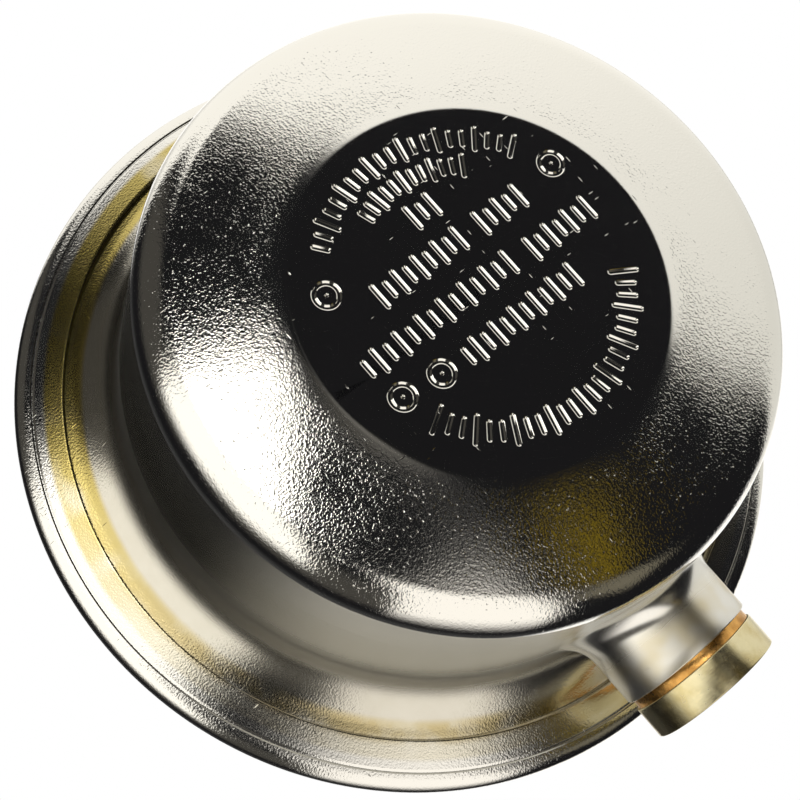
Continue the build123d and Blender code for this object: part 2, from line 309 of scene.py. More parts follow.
def join(value, slot):
    """Feeds an input from a wire, or sets it to a plain value."""
    if isinstance(value, Wire):
        slot.id_data.links.new(value.socket, slot)
    elif isinstance(value, tuple) and len(value) == 3 and slot.type == "RGBA":
        slot.default_value = value + (1.0,)
    else:
        slot.default_value = value


def ramp(value, low, high):
    """0 below low, 1 above high and a smooth rise between. It falls when low is above high."""
    node = value.tree.nodes.new("ShaderNodeMapRange")
    node.interpolation_type = "SMOOTHSTEP"
    join(value, node.inputs["Value"])
    node.inputs["From Min"].default_value = low
    node.inputs["From Max"].default_value = high
    return Wire(node.outputs["Result"])


def band(value, low, high, soft):
    """1 between low and high, and 0 further than soft outside them."""
    return ramp(value, low - soft, low) * ramp(value, high + soft, high)


def blended(first, second, share):
    """A colour between two colours."""
    node = share.tree.nodes.new("ShaderNodeMix")
    node.data_type = "RGBA"
    join(share, node.inputs[0])
    join(first, node.inputs[6])
    join(second, node.inputs[7])
    return Wire(node.outputs[2])


def axes(place):
    """The x, y and z of a vector."""
    node = place.tree.nodes.new("ShaderNodeSeparateXYZ")
    join(place, node.inputs[0])
    return [Wire(output) for output in node.outputs]


def stretched(place, x, y, z):
    """A place with its axes scaled, so that a pattern on it is drawn out along the small ones."""
    node = place.tree.nodes.new("ShaderNodeVectorMath")
    node.operation = "MULTIPLY"
    join(place, node.inputs[0])
    node.inputs[1].default_value = (x, y, z)
    return Wire(node.outputs[0])


def noise(place, size, detail=2.0, roughness=0.5):
    """Smooth noise around 0.5, in blobs about as wide as size."""
    node = place.tree.nodes.new("ShaderNodeTexNoise")
    join(place, node.inputs["Vector"])
    node.inputs["Scale"].default_value = 1 / size
    node.inputs["Detail"].default_value = detail
    node.inputs["Roughness"].default_value = roughness
    return Wire(node.outputs["Fac"])


def flecks(place, size, radius, share):
    """Sparse round flecks: 1 in their middle and 0 away from them. Share is how many cells have one."""
    node = place.tree.nodes.new("ShaderNodeTexVoronoi")
    join(place, node.inputs["Vector"])
    node.inputs["Scale"].default_value = 1 / size
    chosen = axes(Wire(node.outputs["Color"]))[0]
    return ramp(Wire(node.outputs["Distance"]), radius, 0.0) * ramp(chosen, 1 - share, 1.001 - share)


# ---- Finishes --------------------------------------------------------------------------------------
NICKEL = (0.86, 0.84, 0.80)
TAN = (0.72, 0.61, 0.36)
# painted shade: a darker, warmer tone that stands in for shade where the wall turns into the cove
COVE_SHADE = (0.58, 0.54, 0.45)
STAIN = (0.50, 0.40, 0.22)
YELLOW = (0.62, 0.50, 0.17)  # brass showing through worn nickel
SCRATCH_DEPTH = 0.008 * MM


def metal(name, colour, roughness):
    """A bare metal material. Gives its shader node and the place on the object, in metres."""
    material = bpy.data.materials.new(name)
    material.use_nodes = True
    shader = material.node_tree.nodes["Principled BSDF"]
    shader.inputs["Base Color"].default_value = colour + (1.0,)
    shader.inputs["Metallic"].default_value = 1.0
    shader.inputs["Roughness"].default_value = roughness
    place = Wire(material.node_tree.nodes.new("ShaderNodeTexCoord").outputs["Object"])
    return material, shader, place


def emboss(shader, height):
    """Bumps the surface by a height in metres."""
    node = height.tree.nodes.new("ShaderNodeBump")
    node.inputs["Strength"].default_value = 1.0
    node.inputs["Distance"].default_value = 1.0
    join(height, node.inputs["Height"])
    join(Wire(node.outputs["Normal"]), shader.inputs["Normal"])


def about_axis(x, y):
    """Distance from the axis and the turn round it."""
    return (x * x + y * y).math("SQRT"), y.math("ARCTAN2", x)


def nickel_zones(place):
    """Shares of the plate's zones: grained face, clean panel, cove, yellow seam, rounded bead and neck."""
    x, y, z = axes(place)
    r, _ = about_axis(x, y)
    face = ramp(r, PANEL_R + 0.3 * MM, PANEL_R + 1.8 * MM) * ramp(z, 5 * MM, 2 * MM)
    panel = ramp(r, PANEL_R + 0.5 * MM, PANEL_R) * ramp(z, 2 * MM, 1 * MM)
    cove = band(z, 20.5 * MM, 24.8 * MM, 1.5 * MM)
    seam = band(r, 28.4 * MM, 31.0 * MM, 0.5 * MM) * band(z, 23.4 * MM, 25.0 * MM, 0.3 * MM)
    bead = ramp(r, 31.9 * MM, 32.2 * MM) * band(z, 23.9 * MM, 26.5 * MM, 0.3 * MM)
    neck = ramp(x, 26.5 * MM, 29 * MM) * ramp(y.math("ABSOLUTE"), 9 * MM, 7 * MM)
    neck = neck * ramp(z, 23.5 * MM, 22.5 * MM)
    return face, panel, cove, seam, bead, neck


def nickel_relief(place, face, cove, bead):
    """Height of the plate's grain, pits and scratches, and of the faint line round the wall."""
    x, y, z = axes(place)
    r, _ = about_axis(x, y)
    patchy = ramp(noise(place, 5 * MM, 2.0), 0.3, 0.65) * 0.5 + 0.5
    grained = (face + bead * 0.4) * patchy
    fine = noise(place, 0.16 * MM, 1.0) * (0.0006 * MM + grained * (0.009 * MM) + cove * (0.009 * MM))
    coarse = ramp(noise(place, 0.22 * MM, 1.0), 0.44, 0.66) * grained * (0.0055 * MM)
    hammered = noise(place, 0.5 * MM, 1.0) * (face * (0.002 * MM) + 0.001 * MM)
    pitted = face * ramp(y, -16 * MM, -4 * MM) * patchy
    pits = flecks(place, 0.33 * MM, 0.28, 0.3) * (0.001 * MM + pitted * (0.015 * MM))
    scratches = flecks(stretched(place, 1.0, 0.16, 0.12), 0.3 * MM, 0.2, 0.1)
    crossed = flecks(stretched(place, 0.18, 1.0, 0.4), 0.33 * MM, 0.2, 0.1)
    wall_line = band(z, 9.5 * MM, 9.6 * MM, 0.3 * MM) * ramp(r, 26 * MM, 25.6 * MM)
    grain = fine + coarse + hammered - pits
    return grain - (scratches + crossed) * SCRATCH_DEPTH + wall_line * SCRATCH_DEPTH


def nickel_colour(place, neck, thin, seen):
    """Colour of the plate: tanned on the neck, darker in the cove as painted shade, stained beside the seam,
    worn on it.
    """
    x, y, z = axes(place)
    r, _ = about_axis(x, y)
    tanned = neck * ramp(noise(place, 4 * MM, 2.0), 0.3, 0.6) * 0.7
    plate = blended(NICKEL, TAN, tanned)
    # painted shade where the wall turns into the cove, inside the fold's edge; the cover above takes the
    # same darker tone
    cove_shade = ramp(z, 20.2 * MM, 21.8 * MM) * ramp(r, 29.5 * MM, 29.2 * MM)
    cove_shade = cove_shade * (noise(place, 2 * MM) * 0.3 + 0.7)
    plate = blended(plate, COVE_SHADE, cove_shade * 0.85)
    stained = band(r, 28.7 * MM, 29.5 * MM, 0.9 * MM) * band(z, 22.5 * MM, 25.0 * MM, 0.3 * MM) * seen
    plate = blended(plate, STAIN, stained * ramp(noise(place, 3 * MM, 3.0), 0.25, 0.6) * 0.8)
    return blended(plate, YELLOW, thin)


def nickel_plate():
    """Bright nickel over drawn brass. The yellow of the brass shows to the camera, not in reflections."""
    material, shader, place = metal("nickel_plate", NICKEL, 0.1)
    x, y, z = axes(place)
    _, turn = about_axis(x, y)
    face, panel, cove, seam, bead, neck = nickel_zones(place)
    seen = Wire(material.node_tree.nodes.new("ShaderNodeLightPath").outputs["Is Camera Ray"])
    worn_side = ramp(turn.math("DEGREES"), 75, 118) * 0.75 + 0.25
    thin = seam * seen * worn_side * ramp(noise(place, 6 * MM, 2.0), 0.15, 0.5)
    haze = noise(place, 3 * MM, 3.0) * 0.05
    satin = ramp(z, 1.5 * MM, 5 * MM) * 0.03 + band(z, 5 * MM, 21 * MM, 1.5 * MM) * 0.1
    satin = satin + band(z, 18.5 * MM, 22.5 * MM, 2 * MM) * 0.1 + neck * 0.1
    emboss(shader, nickel_relief(place, face, cove, bead))
    join(nickel_colour(place, neck, thin, seen), shader.inputs["Base Color"])
    join(haze + 0.06 + satin + seam * worn_side * 0.04 - panel * 0.03, shader.inputs["Roughness"])
    return material


def turned_brass():
    """Thinly plated turned brass: pale yellow, with rings from the lathe."""
    material, shader, place = metal("turned_brass", (0.86, 0.77, 0.54), 0.2)
    rings = noise(stretched(place, 1.0, 0.12, 0.12), 0.09 * MM, 2.0)
    marks = noise(stretched(place, 0.15, 1.0, 1.0), 0.12 * MM, 2.0)
    emboss(shader, rings * (0.003 * MM) + marks * (0.002 * MM))
    stain = ramp(noise(place, 2.5 * MM, 3.0), 0.35, 0.7)
    join(blended((0.84, 0.75, 0.48), (0.66, 0.54, 0.26), stain), shader.inputs["Base Color"])
    join(noise(place, 0.8 * MM, 2.0) * 0.2 + 0.14, shader.inputs["Roughness"])
    return material


def braze():
    """Copper-rich braze, as it ran: smooth, orange, darker where flux burnt on."""
    material, shader, place = metal("braze", (0.80, 0.42, 0.12), 0.25)
    emboss(shader, noise(place, 0.5 * MM, 3.0) * (0.03 * MM))
    burnt = ramp(noise(place, 1.8 * MM, 3.0), 0.4, 0.75)
    join(blended((0.86, 0.47, 0.14), (0.42, 0.20, 0.05), burnt), shader.inputs["Base Color"])
    join(noise(place, 0.7 * MM, 2.0) * 0.25 + 0.15, shader.inputs["Roughness"])
    return material


def solder():
    """Soft solder: grey, lumpy and a little dull."""
    material, shader, place = metal("solder", (0.62, 0.62, 0.61), 0.3)
    emboss(shader, noise(place, 0.9 * MM, 3.0) * (0.05 * MM))
    dull = ramp(noise(place, 1.5 * MM, 4.0), 0.35, 0.65)
    join(blended((0.70, 0.70, 0.69), (0.40, 0.40, 0.41), dull), shader.inputs["Base Color"])
    join(dull * 0.25 + 0.22, shader.inputs["Roughness"])
    return material


def drawn(name, bright, tarnished, roughness, size):
    """A drawn or rolled metal with fine lines, clouded by tarnish."""
    material, shader, place = metal(name, bright, roughness)
    lines = noise(stretched(place, 1.0, 1.0, 0.08), 0.15 * MM, 2.0)
    emboss(shader, lines * (0.002 * MM) + noise(place, 0.6 * MM, 2.0) * (0.004 * MM))
    cloud = ramp(noise(place, size, 4.0), 0.4, 0.75)
    join(blended(bright, tarnished, cloud), shader.inputs["Base Color"])
    join(cloud * 0.15 + roughness, shader.inputs["Roughness"])
    return material


def red_fibre():
    """Vulcanised fibre: dull red-brown, with a paper-like fleck."""
    material, shader, place = metal("red_fibre", (0.30, 0.05, 0.03), 0.6)
    shader.inputs["Metallic"].default_value = 0.0
    grain = noise(stretched(place, 1.0, 1.0, 4.0), 0.18 * MM, 4.0, 0.7)
    emboss(shader, grain * (0.02 * MM))
    colour = blended((0.34, 0.06, 0.035), (0.14, 0.025, 0.02), ramp(grain, 0.35, 0.7))
    join(colour, shader.inputs["Base Color"])
    join(grain * 0.2 + 0.5, shader.inputs["Roughness"])
    return material


DRAWN_METALS = {  # bright and tarnished colours, roughness, and the size of the clouds of tarnish
    "float_copper": ((0.90, 0.52, 0.36), (0.50, 0.26, 0.16), 0.28, 4 * MM),
    "diaphragm_bronze": ((0.84, 0.58, 0.34), (0.52, 0.34, 0.20), 0.22, 2 * MM),
    "spring_brass": ((0.86, 0.70, 0.36), (0.56, 0.44, 0.20), 0.25, 3 * MM),
    "pin_steel": ((0.66, 0.66, 0.66), (0.50, 0.50, 0.50), 0.18, 1 * MM),
    "seat_brass": ((0.84, 0.68, 0.36), (0.62, 0.48, 0.22), 0.15, 1 * MM),
}
FINISHES = {make.__name__: make for make in (nickel_plate, turned_brass, braze, solder, red_fibre)}
made = {}


def finish(slot):
    """The material for one of the record's material slots, made once."""
    if slot not in made:
        made[slot] = drawn(slot, *DRAWN_METALS[slot]) if slot in DRAWN_METALS else FINISHES[slot]()
    return made[slot]


# ---- Bottom cup ------------------------------------------------------------------------------------
first_slope, last_slope = radians(KNUCKLE_SLOPE), radians(FACE_SLOPE)
knuckle_end = PANEL_R + KNUCKLE_R * sin(first_slope)
corner_start = CUP_R - CORNER_R * (1 - sin(last_slope))
FACE_R = (corner_start - knuckle_end) / (sin(last_slope) - sin(first_slope))
FACE_CENTRE = (knuckle_end - FACE_R * sin(first_slope), KNUCKLE_R + (FACE_R - KNUCKLE_R) * cos(first_slope))
CORNER_CENTRE = (CUP_R - CORNER_R, FACE_CENTRE[1] - (FACE_R - CORNER_R) * cos(last_slope))


def pressed(r):
    """How far the pressed rim stands above a flat one."""
    return (r - PRESS_PIVOT_R) * tan(radians(PRESS_ANGLE))


cove_end = CUP_R + COVE_R * (1 - sin(radians(PRESS_ANGLE)))
COVE_CENTRE = (CUP_R + COVE_R, FLANGE_Z + pressed(cove_end) - COVE_R * cos(radians(PRESS_ANGLE)))


def cup_radius(z, inset):
    """Radius of the cup's skin at a height on the wall or the cove. inset is 0 outside and SHEET inside."""
    bend_r = COVE_R + inset
    if z <= COVE_CENTRE[1]:
        return CUP_R - inset
    return COVE_CENTRE[0] - sqrt(max(bend_r ** 2 - (z - COVE_CENTRE[1]) ** 2, 0))


def cup_rows(inset):
    """The cup's skin from the panel to the flange's edge, and the rows that bound the neck's patch."""
    down = -90
    face = joined(
        arc((PANEL_R, KNUCKLE_R), KNUCKLE_R - inset, down, down + KNUCKLE_SLOPE, 1.0),
        arc(FACE_CENTRE, FACE_R - inset, down + KNUCKLE_SLOPE, down + FACE_SLOPE, 0.7),
        arc(CORNER_CENTRE, CORNER_R - inset, down + FACE_SLOPE, 0, 3.0),
        [(CUP_R - inset, CORNER_CENTRE[1] + FLAT_GUARD)],
    )
    patch_low = len(face)
    wall_height = COVE_CENTRE[1] - PATCH_LOW_Z
    wall = [(CUP_R - inset, PATCH_LOW_Z + wall_height * i / WALL_ROWS) for i in range(WALL_ROWS + 1)]
    lower_cove = arc(COVE_CENTRE, COVE_R + inset, 180, 180 - PATCH_COVE_ANGLE, 6.0)
    patched = joined(wall, lower_cove)
    patch_high = patch_low + len(patched) - 1
    upper_cove = arc(COVE_CENTRE, COVE_R + inset, 180 - PATCH_COVE_ANGLE, 90 + PRESS_ANGLE, 3.0)
    flange = straight(upper_cove[-1], (FLANGE_R, FLANGE_Z + inset + pressed(FLANGE_R)))
    return joined(face, patched, upper_cove, flange), patch_low, patch_high


def neck_rings(edge, inset):
    """Rings of points from the patch's edge, down the flare and along the neck to its end."""
    neck_r = NECK_R - inset
    flare_r = NECK_FILLET + inset
    reach = neck_r + flare_r
    angles = [atan2(z - INLET_Z, y) for x, y, z in edge]
    rings = []
    spread = 7  # how many rings run from the patch's edge to the flare
    for i in range(1, spread + 1):
        share = i / spread
        ring = []
        for (x, y, z), a in zip(edge, angles):
            y2 = y + (reach * cos(a) - y) * share
            z2 = z + (INLET_Z + reach * sin(a) - z) * share
            ring.append((sqrt(cup_radius(z2, inset) ** 2 - y2 ** 2), y2, z2))
        rings.append(ring)
    bends = 14  # how many run down the flare
    for i in range(1, bends + 1):
        turn = pi / 2 * i / bends
        ring = []
        for a in angles:
            r = neck_r + flare_r * (1 - sin(turn))
            y, z = r * cos(a), INLET_Z + r * sin(a)
            x = sqrt(cup_radius(z, inset) ** 2 - y ** 2) + flare_r * (1 - cos(turn))
            ring.append((x, y, z))
        rings.append(ring)
    last = rings[-1]
    for share in (0.25, 0.5, 0.75, 1.0):
        rings.append([(x + (NECK_END - EDGE - x) * share, y, z) for x, y, z in last])
    side = 1 if inset == 0 else -1
    for turn in (30, 60, 90):
        r = neck_r - EDGE * (1 - cos(radians(turn))) * side
        x = NECK_END - EDGE * (1 - sin(radians(turn)))
        rings.append([(x, r * cos(a), INLET_Z + r * sin(a)) for a in angles])
    return rings


def cup_skin(inset):
    """Points and faces of one side of the cup, without its panel, and its first, last and neck-end loops."""
    rows, patch_low, patch_high = cup_rows(inset)
    turn = 2 * pi / SEGMENTS
    points = [(r * cos(turn * k), r * sin(turn * k), z) for r, z in rows for k in range(SEGMENTS)]

    def inside_patch(row, k):
        """Whether the quad above this row and beside this segment is left out for the neck."""
        from_middle = k if k < SEGMENTS / 2 else k - SEGMENTS
        return patch_low <= row < patch_high and -HALF_PATCH <= from_middle < HALF_PATCH

    faces = []
    for row in range(len(rows) - 1):
        for k in range(SEGMENTS):
            if not inside_patch(row, k):
                k2 = (k + 1) % SEGMENTS
                faces.append((row * SEGMENTS + k, row * SEGMENTS + k2,
                              (row + 1) * SEGMENTS + k2, (row + 1) * SEGMENTS + k))
    bottom = [(patch_low, k) for k in range(-HALF_PATCH, HALF_PATCH)]
    right = [(row, HALF_PATCH) for row in range(patch_low, patch_high)]
    top = [(patch_high, k) for k in range(HALF_PATCH, -HALF_PATCH, -1)]
    left = [(row, -HALF_PATCH) for row in range(patch_high, patch_low, -1)]
    loop = [row * SEGMENTS + k % SEGMENTS for row, k in bottom + right + top + left]
    edge = [points[i] for i in loop]
    for ring in neck_rings(edge, inset):
        start = len(points)
        points += ring
        count = len(ring)
        new = list(range(start, start + count))
        for k in range(count):
            k2 = (k + 1) % count
            faces.append((loop[k], loop[k2], new[k2], new[k]))
        loop = new
    first = list(range(SEGMENTS))
    last = list(range((len(rows) - 1) * SEGMENTS, len(rows) * SEGMENTS))
    return points, faces, first, last, loop


def bridge(first, second):
    """Quads between two loops of the same length."""
    count = len(first)
    return [(first[k], first[(k + 1) % count], second[(k + 1) % count], second[k]) for k in range(count)]


def panel_faces(rim, marks):
    """The flat panel as triangles: the rim's points and the rings of each stamped mark."""
    flat = [Vector((p[0], p[1])) for p in rim]
    heights = [p[2] for p in rim]
    edges = [(k, (k + 1) % len(rim)) for k in range(len(rim))]
    for rings in marks:
        for ring, height in rings:
            start = len(flat)
            flat += [Vector(p) for p in ring]
            heights += [height] * len(ring)
            edges += [(start + k, start + (k + 1) % len(ring)) for k in range(len(ring))]
    points, _, faces, origins, _, _ = delaunay_2d_cdt(flat, edges, [], 1, 1e-8)
    placed = []
    for point, origin in zip(points, origins):
        placed.append((point.x, point.y, heights[origin[0]] if origin else 0.0))
    return placed, [tuple(f) for f in faces]


# ---- Stamped marks ---------------------------------------------------------------------------------
def stamped_section(half):
    """Section of a stamped groove as (distance outside its rim, height), from the panel to its floor."""
    shares = ((0.0, 0.0), (-0.25, 0.22), (-0.5, 0.66), (-0.72, 0.92))
    return [(GUARD, 0.0)] + [(out * half, share * MARK_DEPTH) for out, share in shares]


def stroke(start, end, half=STROKE, bend_points=8):
    """Rings of a straight stamped stroke: (points, height) from the rim to the floor."""
    a, b = Vector(start), Vector(end)
    along = (b - a).normalized() if (b - a).length > 1e-9 else Vector((1, 0))
    side = Vector((-along.y, along.x))
    rings = []
    for out, height in stamped_section(half):
        r = half + out
        ring = []
        for centre, base in ((b, -90), (a, 90)):
            for k in range(bend_points + 1):
                angle = radians(base + 180 * k / bend_points)
                ring.append(tuple(centre + along * (r * cos(angle)) + side * (r * sin(angle))))
        rings.append((ring, height))
    return [rings]


def pip(centre, radius=0.95 * MM):
    """A stamped ring with a dot in it, as concentric rings of points and their heights."""
    section = stamped_section(STROKE)
    groove = [(radius + STROKE + out, height) for out, height in section]
    groove += [(radius - STROKE - out, height) for out, height in reversed(section)]
    sides = 40
    turns = [2 * pi * k / sides for k in range(sides)]
    rings = []
    for r, height in groove:
        ring = [(centre[0] + r * cos(turn), centre[1] + r * sin(turn)) for turn in turns]
        rings.append((ring, height))
    return [rings] + stroke(centre, centre, half=0.8 * STROKE)


def polar(radius, angle):
    """A point of the panel from its distance to the centre and its angle."""
    return (radius * cos(radians(angle)), radius * sin(radians(angle)))


def tick_arc(radius, start, end, count, long=2.1 * MM, short=1.3 * MM):
    """Radial ticks along an arc, every third one long."""
    marks = []
    for k in range(count):
        angle = start + (end - start) * k / (count - 1)
        length = short if k % 3 else long
        marks += stroke(polar(radius - length / 2, angle), polar(radius + length / 2, angle))
    return marks


def bar_row(x, start, end, count, long=1.9 * MM, short=1.2 * MM):
    """Bars across a row that runs along Y, every other one short."""
    marks = []
    for k in range(count):
        y = start + (end - start) * k / (count - 1)
        length = short if k % 2 else long
        marks += stroke((x - length / 2, y), (x + length / 2, y))
    return marks


def stamped_marks():
    """Plain graduation ticks, bars and pips that fill the panel as a stamping does, with no lettering."""
    marks = tick_arc(11.3 * MM, -60, 60, 25)
    marks += tick_arc(12.2 * MM, -126, -220, 21, long=1.8 * MM, short=1.1 * MM)
    marks += tick_arc(9.9 * MM, -146, -200, 12, long=1.7 * MM, short=1.1 * MM)
    marks += bar_row(3.5 * MM, -6.4 * MM, 4.6 * MM, 12)
    marks += bar_row(0.1 * MM, -11.2 * MM, -5.2 * MM, 7)
    marks += bar_row(-0.2 * MM, -3.0 * MM, 11.2 * MM, 14)
    marks += bar_row(-3.8 * MM, -7.4 * MM, -3.4 * MM, 5)
    marks += bar_row(-3.9 * MM, -1.2 * MM, 6.8 * MM, 9)
    marks += bar_row(-7.2 * MM, -1.4 * MM, 0.6 * MM, 3)
    for x, y in ((-4.3, -11.4), (-6.3, 9.9), (3.3, 7.1), (2.9, 10.6)):
        marks += pip((x * MM, y * MM))
    return marks


def lower_shell():
    """Drawn cup, neck and flange as one closed skin, with the marks stamped in its panel."""
    outer, faces, first, last, neck = cup_skin(0.0)
    inner, inner_faces, inner_first, inner_last, inner_neck = cup_skin(SHEET)
    shift = len(outer)
    points = outer + inner
    faces = [tuple(reversed(f)) for f in faces]
    faces += [tuple(i + shift for i in f) for f in inner_faces]
    faces += bridge(last, [i + shift for i in inner_last])
    faces += bridge(neck, [i + shift for i in inner_neck])
    guard_r = PANEL_R - 0.15 * MM
    turns = [2 * pi * k / SEGMENTS for k in range(SEGMENTS)]
    guard = [(guard_r * cos(turn), guard_r * sin(turn), 0.0) for turn in turns]
    start = len(points)
    points += guard
    faces += bridge(first, list(range(start, start + SEGMENTS)))
    panel, panel_triangles = panel_faces(guard, stamped_marks())
    start = len(points)
    points += panel
    faces += [tuple(start + i for i in f) for f in panel_triangles]
    hub = len(points)
    points.append((0, 0, SHEET))
    inner_rim = [i + shift for i in inner_first]
    faces += [(inner_rim[k], inner_rim[(k + 1) % SEGMENTS], hub) for k in range(SEGMENTS)]
    return mesh_piece("cup", points, faces)


# ---- Cover -----------------------------------------------------------------------------------------
def cover_outline():
    """Closed outline of the cover: its outer face, the fold under the cup's flange, and its inner face."""
    slope = radians(CROWN_SLOPE)
    shoulder_x = COVER_R - SHOULDER_R
    crown_r = (shoulder_x + SHOULDER_R * sin(slope) - LAND_R) / sin(slope)
    crown_centre = (LAND_R, CROWN_Z - crown_r)
    shoulder_centre = (shoulder_x, crown_centre[1] + (crown_r - SHOULDER_R) * cos(slope))
    cove_end_r = COVER_R + COVER_COVE_R * (1 + sin(radians(PRESS_ANGLE)))
    cove_drop = COVER_COVE_R * cos(radians(PRESS_ANGLE))
    cove_centre = (COVER_R + COVER_COVE_R, SEAM_TOP_Z + pressed(cove_end_r) + cove_drop)
    bead_centre = (SEAM_R - BEAD_R, SEAM_Z + BEAD_R)

    def skin(inset):
        """One face of the cover, from the boss to the rim's bead. inset is 0 outside and SHEET inside."""
        rim = joined(
            straight((cove_end_r, SEAM_TOP_Z - inset), (bead_centre[0], SEAM_TOP_Z - inset)),
            arc(bead_centre, BEAD_R - inset, 90, -90, 6),
        )
        return joined(
            straight((BOSS_R, CROWN_Z - inset), (LAND_R, CROWN_Z - inset)),
            arc(crown_centre, crown_r - inset, 90, 90 - CROWN_SLOPE, 0.8),
            arc(shoulder_centre, SHOULDER_R - inset, 90 - CROWN_SLOPE, 0, 1.5),
            straight((COVER_R - inset, shoulder_centre[1]), (COVER_R - inset, cove_centre[1]), count=4),
            arc(cove_centre, COVER_COVE_R + inset, 180, 270 + PRESS_ANGLE, 4)[:-1],
            [(r, z + pressed(r)) for r, z in rim],
        )

    crease = joined(
        [(CREASE_R + CREASE_HALF + 0.05 * MM, SEAM_Z), (CREASE_R + CREASE_HALF, SEAM_Z)],
        arc((CREASE_R, SEAM_Z - CREASE_DEPTH * 0.2), CREASE_HALF * 0.7, 45, 135, 22.5),
        [(CREASE_R - CREASE_HALF, SEAM_Z), (CREASE_R - CREASE_HALF - 0.05 * MM, SEAM_Z)],
    )
    fold = joined(
        crease,
        straight((CREASE_R - 2 * CREASE_HALF, SEAM_Z), (FOLD_EDGE_R + EDGE, SEAM_Z), count=3),
        arc((FOLD_EDGE_R + EDGE, SEAM_Z + EDGE), EDGE, 270, 180, 30),
        arc((FOLD_EDGE_R + EDGE, SEAM_Z + SHEET - EDGE), EDGE, 180, 90, 30),
    )
    fold = [(r, z + pressed(r)) for r, z in fold]
    return joined(skin(0.0), fold, list(reversed(skin(SHEET))))


def cover_shell():
    """Domed cover with its rim folded round the cup's flange."""
    return lathe("cover", cover_outline())


def seam_solder():
    """Solder between the two flanges, pressed with them."""
    corners = [
        (COVER_R + COVER_COVE_R, solder_low.z),
        (solder_high.x, solder_low.z),
        (solder_high.x, solder_high.z),
        (COVER_R + COVER_COVE_R, solder_high.z),
    ]
    return lathe("seam_fill", [(r, z + pressed(r)) for r, z in rounded(corners, 0.1 * MM)])


# ---- Inlet -----------------------------------------------------------------------------------------
def inlet_bush():
    """Bush with its head, the step that holds the braze and a pipe thread in its bore."""
    outside = rounded(
        [
            (PORT_R, BUSH_START),
            (NECK_BORE_R, BUSH_START),
            (NECK_BORE_R, BUSH_HEAD_X),
            (BUSH_HEAD_R, BUSH_HEAD_X),
            (BUSH_HEAD_R, BUSH_END),
            (PORT_MOUTH_R, BUSH_END),
        ],
        EDGE,
    )
    corners = 6
    head = outside[len(outside) // corners:]  # the thread runs out at the first corner, so it isn't rounded
    rows = ceil((BUSH_END - BUSH_START) / PIPE_PITCH * THREAD_ROWS)
    places = [BUSH_END - (BUSH_END - BUSH_START) * i / rows for i in range(1, rows)]

    def outline(turn):
        bore = []
        for x in places:
            mouth = PORT_R + max(x - PORT_MOUTH_X, 0)
            start = min((x - BUSH_START) / PIPE_PITCH, 1.0)
            groove = thread_height(x, turn, PIPE_PITCH, PIPE_THREAD) * start
            bore.append((max(mouth, PORT_R + groove), x))
        return head + bore

    return lathe("bush", outline, FINE_SEGMENTS, "X", INLET_Z, THREAD_SMOOTH_ANGLE)


def inlet_braze():
    """Braze run into the groove: slightly hollow, and uneven where it froze."""

    def outline(turn):
        waves = sin(3 * turn) + 0.6 * sin(7 * turn + 1.3) + 0.4 * sin(13 * turn + 4.0)
        crest = BRAZE_R - 0.07 * MM + 0.02 * MM * waves
        reach = (BUSH_HEAD_X - NECK_END) / 2
        across = [i / 5 - 1 for i in range(11)]
        top = [(crest + 0.05 * MM * t * t, NECK_END + reach * (1 + t)) for t in across]
        return [(NECK_BORE_R, NECK_END)] + top + [(NECK_BORE_R, BUSH_HEAD_X)]

    return lathe("braze", outline, FINE_SEGMENTS, "X", INLET_Z)


# ---- Orifice ---------------------------------------------------------------------------------------
def thread_places(low, high):
    """Places along a threaded length, from low to high."""
    rows = ceil((high - low) / PLUG_PITCH * THREAD_ROWS)
    return [low + (high - low) * i / rows for i in range(rows + 1)]


def orifice_boss():
    """Boss through the crown, with the plug's thread and the pocket for the seat."""
    _, seat_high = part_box("valve_seat")
    flange_r = boss_high.x
    crown_inside = CROWN_Z - SHEET
    flange_z = crown_inside - BOSS_FLANGE
    outside = rounded(
        [
            (seat_high.x, boss_low.z),
            (SPIGOT_R, boss_low.z),
            (SPIGOT_R, flange_z),
            (flange_r, flange_z),
            (flange_r, crown_inside),
            (BOSS_R, crown_inside),
            (BOSS_R, boss_high.z),
            (TAPPING_R + 0.5 * MM, boss_high.z),
        ],
        EDGE,
    )
    threaded = list(reversed(thread_places(seat_high.z, boss_high.z - 0.1 * MM)))

    def outline(turn):
        bore = []
        for z in threaded:
            mouth = max(TAPPING_R + 0.55 * MM - (boss_high.z - z), 0)
            run_out = min((z - seat_high.z) / PLUG_PITCH, 1.0)
            groove = thread_height(z, turn, PLUG_PITCH, PLUG_THREAD) * run_out
            bore.append((max(TAPPING_R + groove, mouth), z))
        return outside + bore + [(seat_high.x, seat_high.z)]

    return lathe("boss", outline, FINE_SEGMENTS, smooth_angle=THREAD_SMOOTH_ANGLE)


def boss_solder():
    """Solder fillet round the boss, with a toe that wanders a little."""
    low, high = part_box("boss_solder")
    reach = high.x - BOSS_R
    height = high.z - low.z

    def outline(turn):
        waves = sin(2 * turn + 0.4) + 0.5 * sin(5 * turn + 2.0) + 0.3 * sin(11 * turn)
        toe = reach * (0.86 + 0.07 * waves)
        top = height * (0.86 - 0.07 * waves)
        sweep = [radians(5 * i) for i in range(1, 19)]
        curve = [(BOSS_R + toe * (1 - sin(a)), low.z + top * (1 - cos(a))) for a in sweep]
        return [(BOSS_R, low.z), (BOSS_R + toe, low.z)] + curve

    return lathe("boss_fillet", outline, FINE_SEGMENTS)


def orifice_washer():
    """Fibre washer, its edges softened."""
    inner = SHANK_R + PLUG_THREAD + 0.1 * MM
    corners = [
        (inner, washer_low.z),
        (washer_high.x, washer_low.z),
        (washer_high.x, washer_high.z),
        (inner, washer_high.z),
    ]
    return lathe("washer", rounded(corners, 0.15 * MM), FINE_SEGMENTS)


